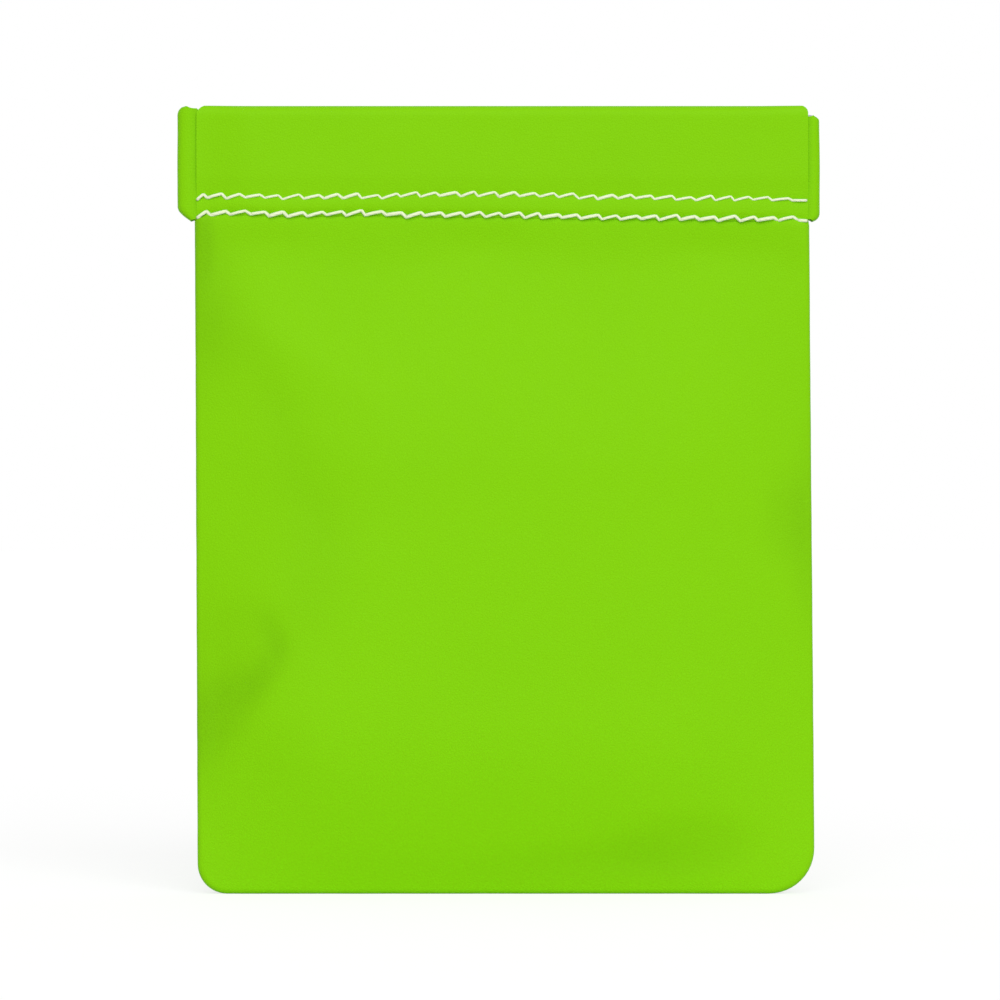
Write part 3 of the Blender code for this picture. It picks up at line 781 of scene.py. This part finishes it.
def end_tab(side, materials):
    """The tab over a hinged end: a sheet wrapped half round, with its outer corners rounded off."""
    sign_x = SIDES[side]
    low, high = TAB_LOW[side], TAB_HIGH[side]
    bm = bmesh.new()
    bmesh.ops.create_grid(bm, x_segments=TAB_COLUMNS, y_segments=TAB_ROWS, size=0.5)
    rub = bm.verts.layers.float.new("rub")
    painted_shade = bm.verts.layers.float.new("painted_shade")
    for vert in bm.verts:
        wrap = vert.co.x * 2 * TAB_WRAP
        share = vert.co.y + 0.5
        crowded = 0.5 - 0.5 * math.cos(math.pi * share)
        z = between(low, high, between(crowded, share, TAB_EVENNESS))
        reach = TAB_REACH[side]
        corners = ((TAB_LOW_CORNER[side], z - low), (TAB_HIGH_CORNER[side], high - z))
        for (width, height, bluntness), gap in corners:
            near = max(0, 1 - gap / height)
            reach -= width * (1 - (1 - near**bluntness) ** (1 / bluntness))
        slice_y = sign_x * NOISE_SLICE["tab"]
        wave = TAB_WAVE * noise.noise(Vector((wrap, slice_y, z * TAB_WAVES)))
        x = TAB_CENTRE + (max(reach, TAB_HIDE) + wave) * squared(math.cos(wrap))
        towards_end = max(0, math.cos(wrap))
        near_top = smooth((share - 1 + TAB_TOP_SHARE) / TAB_TOP_SHARE)
        z -= TAB_TOP_FALL[side] * near_top * (1 - squared(towards_end))
        vert.co = (sign_x * x, TAB_HALF_DEPTH * squared(math.sin(wrap)), z)
        vert[rub] = towards_end**TAB_RUB_FOCUS
        # painted shade where the tab runs under its casing
        clear = max(0, x - CASING_END[side])
        vert[painted_shade] = TAB_PAINTED_SHADE * math.exp(-((clear / TAB_SHADE_WIDTH) ** 2))
    seen = max(bm.faces, key=lambda f: f.calc_center_median().x * sign_x)
    face_outwards(bm, seen, Vector((sign_x, 0, 0)))
    piece = new_piece(f"{side}_tab_wrap", bm, materials)
    thicken(piece, TAB_HIDE)
    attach(piece, f"{side}_end")
    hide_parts(f"{side}_end_tab")


def blade_path(face, step):
    """Place and depth of a blade's middle line: straight, cranked to the pin, rolled round it."""
    radius = KNUCKLE_RADIUS[face]
    if step <= BLADE_STEPS:
        return BLADE_STRAIGHT * step / BLADE_STEPS, BLADE_DEPTH
    if step <= BLADE_STEPS + CRANK_STEPS:
        share = (step - BLADE_STEPS) / CRANK_STEPS
        return between(BLADE_STRAIGHT, PIN_X, share), between(BLADE_DEPTH, radius, smooth(share))
    turn = between(math.pi / 2, KNUCKLE_END, (step - BLADE_STEPS - CRANK_STEPS) / KNUCKLE_STEPS)
    return PIN_X + radius * math.cos(turn), radius * math.sin(turn)


def blade_half(face, side, material):
    """Half of a spring blade, with the fingers that are rolled round the hinge pin."""
    sign_x, sign_y = SIDES[side], FACES[face]
    steps, bands = BLADE_STEPS + CRANK_STEPS + KNUCKLE_STEPS, len(BLADE_LEVELS) - 1
    bm = bmesh.new()
    bmesh.ops.create_grid(bm, x_segments=steps, y_segments=bands, size=0.5)
    spare = []
    for quad in bm.faces:
        middle = quad.calc_center_median()
        band = int((middle.y + 0.5) * bands)
        if (middle.x + 0.5) * steps > BLADE_STEPS + 1 and band not in BLADE_FINGERS[face]:
            spare.append(quad)
    bmesh.ops.delete(bm, geom=spare, context="FACES")
    for vert in bm.verts:
        along, depth = blade_path(face, round((vert.co.x + 0.5) * steps))
        level = round((vert.co.y + 0.5) * bands)
        vert.co = (sign_x * along, sign_y * depth, BLADE_LEVELS[level])
    seen = min(bm.faces, key=lambda f: abs(f.calc_center_median().x))
    face_outwards(bm, seen, Vector((0, sign_y, 0)))
    piece = new_piece(f"{face}_spring_{side}", bm, [material])
    thicken(piece, BLADE_THICKNESS, back_slot=0, rim_slot=0)
    bend_with_mouth(piece, face, side)
    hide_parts(f"{face}_blade_{side}", f"{face}_blade_middle")


def add_node(tree, kind, settings=None, **inputs):
    """A node with its settings, and with each input set to a value or linked to a socket."""
    made = tree.nodes.new(kind)
    for name, value in (settings or {}).items():
        setattr(made, name, value)
    for name, value in inputs.items():
        set_input(tree, made.inputs[name.replace("_", " ")], value)
    return made


def set_input(tree, socket, value):
    """Links a socket to another one, or gives it a value."""
    if isinstance(value, bpy.types.NodeSocket):
        tree.links.new(value, socket)
    else:
        socket.default_value = value


def mix_colours(tree, factor, first, second):
    """The colour that lies between two, by a factor."""
    mixer = tree.nodes.new("ShaderNodeMix")
    mixer.data_type = "RGBA"
    for index, value in ((0, factor), (6, first), (7, second)):
        set_input(tree, mixer.inputs[index], value)
    return mixer.outputs[2]


def remap(tree, value, low, high):
    """A value from 0 to 1, spread from low to high."""
    mapped = add_node(tree, "ShaderNodeMapRange", Value=value)
    mapped.inputs["To Min"].default_value = low
    mapped.inputs["To Max"].default_value = high
    return mapped.outputs["Result"]


def maths(tree, operation, *values):
    """The result of one operation on values or sockets."""
    made = add_node(tree, "ShaderNodeMath", {"operation": operation})
    for socket, value in zip(made.inputs, values):
        set_input(tree, socket, value)
    return made.outputs[0]


def new_group(name, inputs, outputs):
    """An empty node group with its sockets; returns the tree and its input and output nodes."""
    tree = bpy.data.node_groups.new(name, "ShaderNodeTree")
    for socket, kind in inputs:
        tree.interface.new_socket(name=socket, in_out="INPUT", socket_type=kind)
    for socket, kind in outputs:
        tree.interface.new_socket(name=socket, in_out="OUTPUT", socket_type=kind)
    return tree, tree.nodes.new("NodeGroupInput"), tree.nodes.new("NodeGroupOutput")


def pebble_grain():
    """Embossed grain of leatherette: small pebbles with creases between them, and fine pores."""
    tree, given, put = new_group(
        "pebble grain",
        (("Place", "NodeSocketVector"), ("Pebbles per metre", "NodeSocketFloat")),
        (("Height", "NodeSocketFloat"), ("Crease", "NodeSocketFloat")),
    )
    place, scale = given.outputs["Place"], given.outputs["Pebbles per metre"]
    warp = add_node(tree, "ShaderNodeTexNoise", Vector=place, Scale=900.0, Detail=2.0)
    shift = add_node(tree, "ShaderNodeVectorMath", {"operation": "SCALE"},
                     Vector=warp.outputs["Color"], Scale=0.0004)
    warped = add_node(tree, "ShaderNodeVectorMath", {"operation": "ADD"})
    tree.links.new(place, warped.inputs[0])
    tree.links.new(shift.outputs[0], warped.inputs[1])
    cells = add_node(tree, "ShaderNodeTexVoronoi", {"feature": "DISTANCE_TO_EDGE"},
                     Vector=warped.outputs[0], Scale=scale)
    crease = add_node(tree, "ShaderNodeMapRange", {"interpolation_type": "SMOOTHSTEP"},
                      Value=cells.outputs["Distance"], From_Max=0.25)
    pores = add_node(tree, "ShaderNodeTexNoise",
                     Vector=place, Scale=5200.0, Detail=3.0, Roughness=0.6)
    height = maths(tree, "MULTIPLY_ADD", pores.outputs["Fac"], 0.35, crease.outputs["Result"])
    tree.links.new(height, put.inputs["Height"])
    tree.links.new(maths(tree, "SUBTRACT", 1.0, crease.outputs["Result"]), put.inputs["Crease"])
    return tree


def hand_mottle():
    """Soft, broad unevenness of a surface that has been dyed, handled and bent."""
    tree, given, put = new_group(
        "hand mottle",
        (("Place", "NodeSocketVector"),),
        (("Broad", "NodeSocketFloat"), ("Fine", "NodeSocketFloat")),
    )
    place = given.outputs["Place"]
    broad = add_node(tree, "ShaderNodeTexNoise", Vector=place, Scale=38.0, Detail=2.0)
    fine = add_node(tree, "ShaderNodeTexNoise", Vector=place, Scale=420.0, Detail=3.0)
    tree.links.new(broad.outputs["Fac"], put.inputs["Broad"])
    tree.links.new(fine.outputs["Fac"], put.inputs["Fine"])
    return tree


def knit_loops():
    """Fine ribs and courses of a knitted textile."""
    tree, given, put = new_group(
        "knit loops",
        (("Place", "NodeSocketVector"), ("Ribs per metre", "NodeSocketFloat")),
        (("Height", "NodeSocketFloat"),),
    )
    place, scale = given.outputs["Place"], given.outputs["Ribs per metre"]
    ribs = add_node(tree, "ShaderNodeTexWave", {"bands_direction": "X"},
                    Vector=place, Scale=scale, Distortion=1.5, Detail_Scale=1.5)
    courses = add_node(tree, "ShaderNodeTexWave", {"bands_direction": "Z"},
                       Vector=place, Scale=scale, Distortion=2.0, Detail_Scale=1.5)
    crossed = maths(tree, "MULTIPLY", ribs.outputs["Fac"], courses.outputs["Fac"])
    tree.links.new(crossed, put.inputs["Height"])
    return tree


def ply_twist():
    """The slanting plies of a twisted thread, along its UV map."""
    tree, given, put = new_group(
        "ply twist",
        (("Run", "NodeSocketVector"), ("Turns", "NodeSocketFloat")),
        (("Height", "NodeSocketFloat"),),
    )
    parts = add_node(tree, "ShaderNodeSeparateXYZ", Vector=given.outputs["Run"])
    along = maths(tree, "MULTIPLY", parts.outputs["X"], given.outputs["Turns"])
    around = maths(tree, "MULTIPLY", parts.outputs["Y"], THREAD_PLIES)
    angle = maths(tree, "MULTIPLY", maths(tree, "ADD", along, around), 2 * math.pi)
    wave = maths(tree, "SINE", angle)
    tree.links.new(maths(tree, "MULTIPLY_ADD", wave, 0.5, 0.5), put.inputs["Height"])
    return tree


def new_finish(name):
    """An empty material: its tree, its shader and its Object coordinates."""
    material = bpy.data.materials.new(name)
    material.use_nodes = True
    tree = material.node_tree
    shader = tree.nodes["Principled BSDF"]
    place = tree.nodes.new("ShaderNodeTexCoord")
    return material, tree, shader, place


def use_group(tree, group, **inputs):
    """The outputs of a node group that is placed in a material with its own values."""
    return add_node(tree, "ShaderNodeGroup", {"node_tree": group}, **inputs).outputs


def add_bump(tree, shader, height, distance, strength):
    """Relief on a shader's surface."""
    bump = add_node(tree, "ShaderNodeBump", Height=height, Distance=distance, Strength=strength)
    tree.links.new(bump.outputs["Normal"], shader.inputs["Normal"])


def leather_finish(groups):
    """Lime leatherette: faint pebble grain, a little mottle, painted shade in dents and creases,
    and a polish where hands rub it.
    """
    material, tree, shader, place = new_finish("lime leatherette")
    grain = use_group(tree, groups["grain"], Place=place.outputs["Object"],
                      Pebbles_per_metre=PEBBLES_PER_METRE)
    mottle = use_group(tree, groups["mottle"], Place=place.outputs["Object"])
    rub = add_node(tree, "ShaderNodeAttribute", {"attribute_name": "rub"}).outputs["Fac"]
    painted_shade = add_node(tree, "ShaderNodeAttribute", {"attribute_name": "painted_shade"}).outputs["Fac"]
    even = mix_colours(tree, mottle["Broad"], LIME_DEEP, LIME)
    # painted shade over the dents and on the tabs where they run under the casings
    shaded_tone = mix_colours(tree, painted_shade, even, LIME_PAINTED_SHADE)
    # painted shade in the creases of the grain
    crease = maths(tree, "MULTIPLY", grain["Crease"], CREASE_SHADE)
    creased = mix_colours(tree, crease, shaded_tone, LIME_DEEP)
    rubbed = maths(tree, "MULTIPLY", rub, maths(tree, "MULTIPLY", mottle["Fine"], RUB_TONE))
    tree.links.new(mix_colours(tree, rubbed, creased, LIME_RUBBED), shader.inputs["Base Color"])
    rough = remap(tree, mottle["Fine"], *LEATHER_ROUGHNESS)
    polished = maths(tree, "SUBTRACT", rough, maths(tree, "MULTIPLY", rub, RUB_POLISH))
    tree.links.new(polished, shader.inputs["Roughness"])
    shader.inputs["Specular IOR Level"].default_value = LEATHER_SPECULAR
    add_bump(tree, shader, grain["Height"], *LEATHER_RELIEF)
    return material


def backing_finish(groups):
    """Pale knitted backing on the reverse of the leatherette."""
    material, tree, shader, place = new_finish("knitted backing")
    knit = use_group(tree, groups["knit"], Place=place.outputs["Object"],
                     Ribs_per_metre=RIBS_PER_METRE)
    mottle = use_group(tree, groups["mottle"], Place=place.outputs["Object"])
    worn = mix_colours(tree, mottle["Broad"], BACKING_SHADE, BACKING_PALE)
    shaded = mix_colours(tree, remap(tree, knit["Height"], 0.5, 0.0), worn, BACKING_SHADE)
    tree.links.new(shaded, shader.inputs["Base Color"])
    tree.links.new(remap(tree, mottle["Fine"], *BACKING_ROUGHNESS), shader.inputs["Roughness"])
    shader.inputs["Specular IOR Level"].default_value = BACKING_SPECULAR
    shader.inputs["Sheen Weight"].default_value = BACKING_SHEEN
    add_bump(tree, shader, knit["Height"], *BACKING_RELIEF)
    return material


def cut_edge_finish(groups):
    """The fibrous cut edge of leatherette, between its skin and its backing."""
    material, tree, shader, place = new_finish("cut edge")
    mottle = use_group(tree, groups["mottle"], Place=place.outputs["Object"])
    fibres = mix_colours(tree, mottle["Fine"], LIME_CORE, LIME_DEEP)
    tree.links.new(fibres, shader.inputs["Base Color"])
    tree.links.new(remap(tree, mottle["Broad"], *CUT_EDGE_ROUGHNESS), shader.inputs["Roughness"])
    shader.inputs["Specular IOR Level"].default_value = CUT_EDGE_SPECULAR
    add_bump(tree, shader, mottle["Fine"], *CUT_EDGE_RELIEF)
    return material


def thread_finish(name, groups, light, dark):
    """Matt sewing thread of three twisted plies."""
    material, tree, shader, place = new_finish(name)
    twist = use_group(tree, groups["twist"], Run=place.outputs["UV"], Turns=THREAD_TURNS)
    mottle = use_group(tree, groups["mottle"], Place=place.outputs["Object"])
    colour = mix_colours(tree, twist["Height"], dark, light)
    soil = maths(tree, "MULTIPLY", mottle["Fine"], THREAD_SOIL)
    soiled = mix_colours(tree, soil, colour, dark)
    tree.links.new(soiled, shader.inputs["Base Color"])
    tree.links.new(remap(tree, twist["Height"], *THREAD_ROUGHNESS), shader.inputs["Roughness"])
    shader.inputs["Specular IOR Level"].default_value = THREAD_SPECULAR
    add_bump(tree, shader, twist["Height"], *THREAD_RELIEF)
    return material


def steel_finish(groups):
    """Bright rolled spring steel with fine lines along the strip."""
    material, tree, shader, place = new_finish("rolled spring steel")
    stretched = add_node(tree, "ShaderNodeMapping",
                         Vector=place.outputs["Object"], Scale=STEEL_LINES)
    lines = add_node(tree, "ShaderNodeTexNoise",
                     Vector=stretched.outputs["Vector"], Scale=1.0, Detail=4.0)
    mottle = use_group(tree, groups["mottle"], Place=place.outputs["Object"])
    colour = mix_colours(tree, mottle["Broad"], STEEL_DARK, STEEL)
    tree.links.new(colour, shader.inputs["Base Color"])
    tree.links.new(remap(tree, lines.outputs["Fac"], *STEEL_ROUGHNESS), shader.inputs["Roughness"])
    shader.inputs["Metallic"].default_value = 1
    add_bump(tree, shader, lines.outputs["Fac"], *STEEL_RELIEF)
    return material


def seen_directly(tree):
    """1 for the camera, mirrors and glass, and 0 for light that falls on the object."""
    path = tree.nodes.new("ShaderNodeLightPath")
    either = maths(tree, "MAXIMUM", path.outputs["Is Camera Ray"], path.outputs["Is Glossy Ray"])
    return maths(tree, "MAXIMUM", either, path.outputs["Is Transmission Ray"])


def make_floor():
    """A plain white floor that keeps a pale shadow."""
    bm = bmesh.new()
    bmesh.ops.create_grid(bm, x_segments=1, y_segments=1, size=FLOOR_HALF_WIDTH)
    material, tree, shader, _ = new_finish("white floor")
    directly = seen_directly(tree)
    colour = mix_colours(tree, directly, FLOOR_GREY, FLOOR_SEEN)
    tree.links.new(colour, shader.inputs["Base Color"])
    shader.inputs["Roughness"].default_value = 1
    shader.inputs["Specular IOR Level"].default_value = 0
    shader.inputs["Emission Color"].default_value = WHITE
    glow = maths(tree, "MULTIPLY", directly, FLOOR_GLOW)
    tree.links.new(glow, shader.inputs["Emission Strength"])
    floor = new_piece("studio_floor", bm, [material])


def make_light():
    """Even white surroundings, and a large soft key from the upper right in front."""
    world = bpy.data.worlds.new("studio")
    bpy.context.scene.world = world
    world.use_nodes = True
    tree = world.node_tree
    background = tree.nodes["Background"]
    set_input(tree, background.inputs["Color"], WHITE)
    strength = remap(tree, seen_directly(tree), *WORLD_STRENGTH)
    set_input(tree, background.inputs["Strength"], strength)
    sun = bpy.data.lights.new("key", "SUN")
    sun.energy = KEY_STRENGTH
    sun.angle = KEY_SPREAD
    key = bpy.data.objects.new("key", sun)
    key.rotation_mode = "QUATERNION"
    key.rotation_quaternion = Vector(KEY_DIRECTION).to_track_quat("-Z", "Y")
    bpy.context.scene.collection.objects.link(key)


def make_camera():
    """Square on to the front, from so far away that the pouch shows little perspective."""
    data = bpy.data.cameras.new("camera")
    data.sensor_width = CAMERA_SENSOR
    data.lens = CAMERA_LENS
    data.clip_start, data.clip_end = CAMERA_CLIP
    camera = bpy.data.objects.new("camera", data)
    camera.location = CAMERA_PLACE
    camera.rotation_euler = (math.pi / 2, 0, 0)
    bpy.context.scene.collection.objects.link(camera)
    bpy.context.scene.camera = camera


bpy.context.scene.view_settings.view_transform = "Standard"
make_camera()
make_light()
make_floor()

groups = {
    "grain": pebble_grain(),
    "mottle": hand_mottle(),
    "knit": knit_loops(),
    "twist": ply_twist(),
}
sheet_finishes = [leather_finish(groups), backing_finish(groups), cut_edge_finish(groups)]
white_thread = thread_finish("white sewing thread", groups, THREAD_WHITE, THREAD_SHADE)
lime_thread = thread_finish("lime sewing thread", groups, THREAD_LIME, THREAD_LIME_SHADE)
steel = steel_finish(groups)

for face in FACES:
    for side in SIDES:
        panel_half(face, side, sheet_finishes)
        casing_half(face, side, sheet_finishes)
        blade_half(face, side, steel)
        seam_web(face, side, sheet_finishes)
        for row in ROW_LINES:
            bobbin_row(face, row, side, white_thread)
    for row in ROW_LINES:
        topstitch_row(face, row, white_thread)
for side in SIDES:
    end_tab(side, sheet_finishes)
    pin = frame["nodes"][f"{side}_hinge_pin"]
    pin.data.materials.clear()
    pin.data.materials.append(steel)
seam_threads(lime_thread)
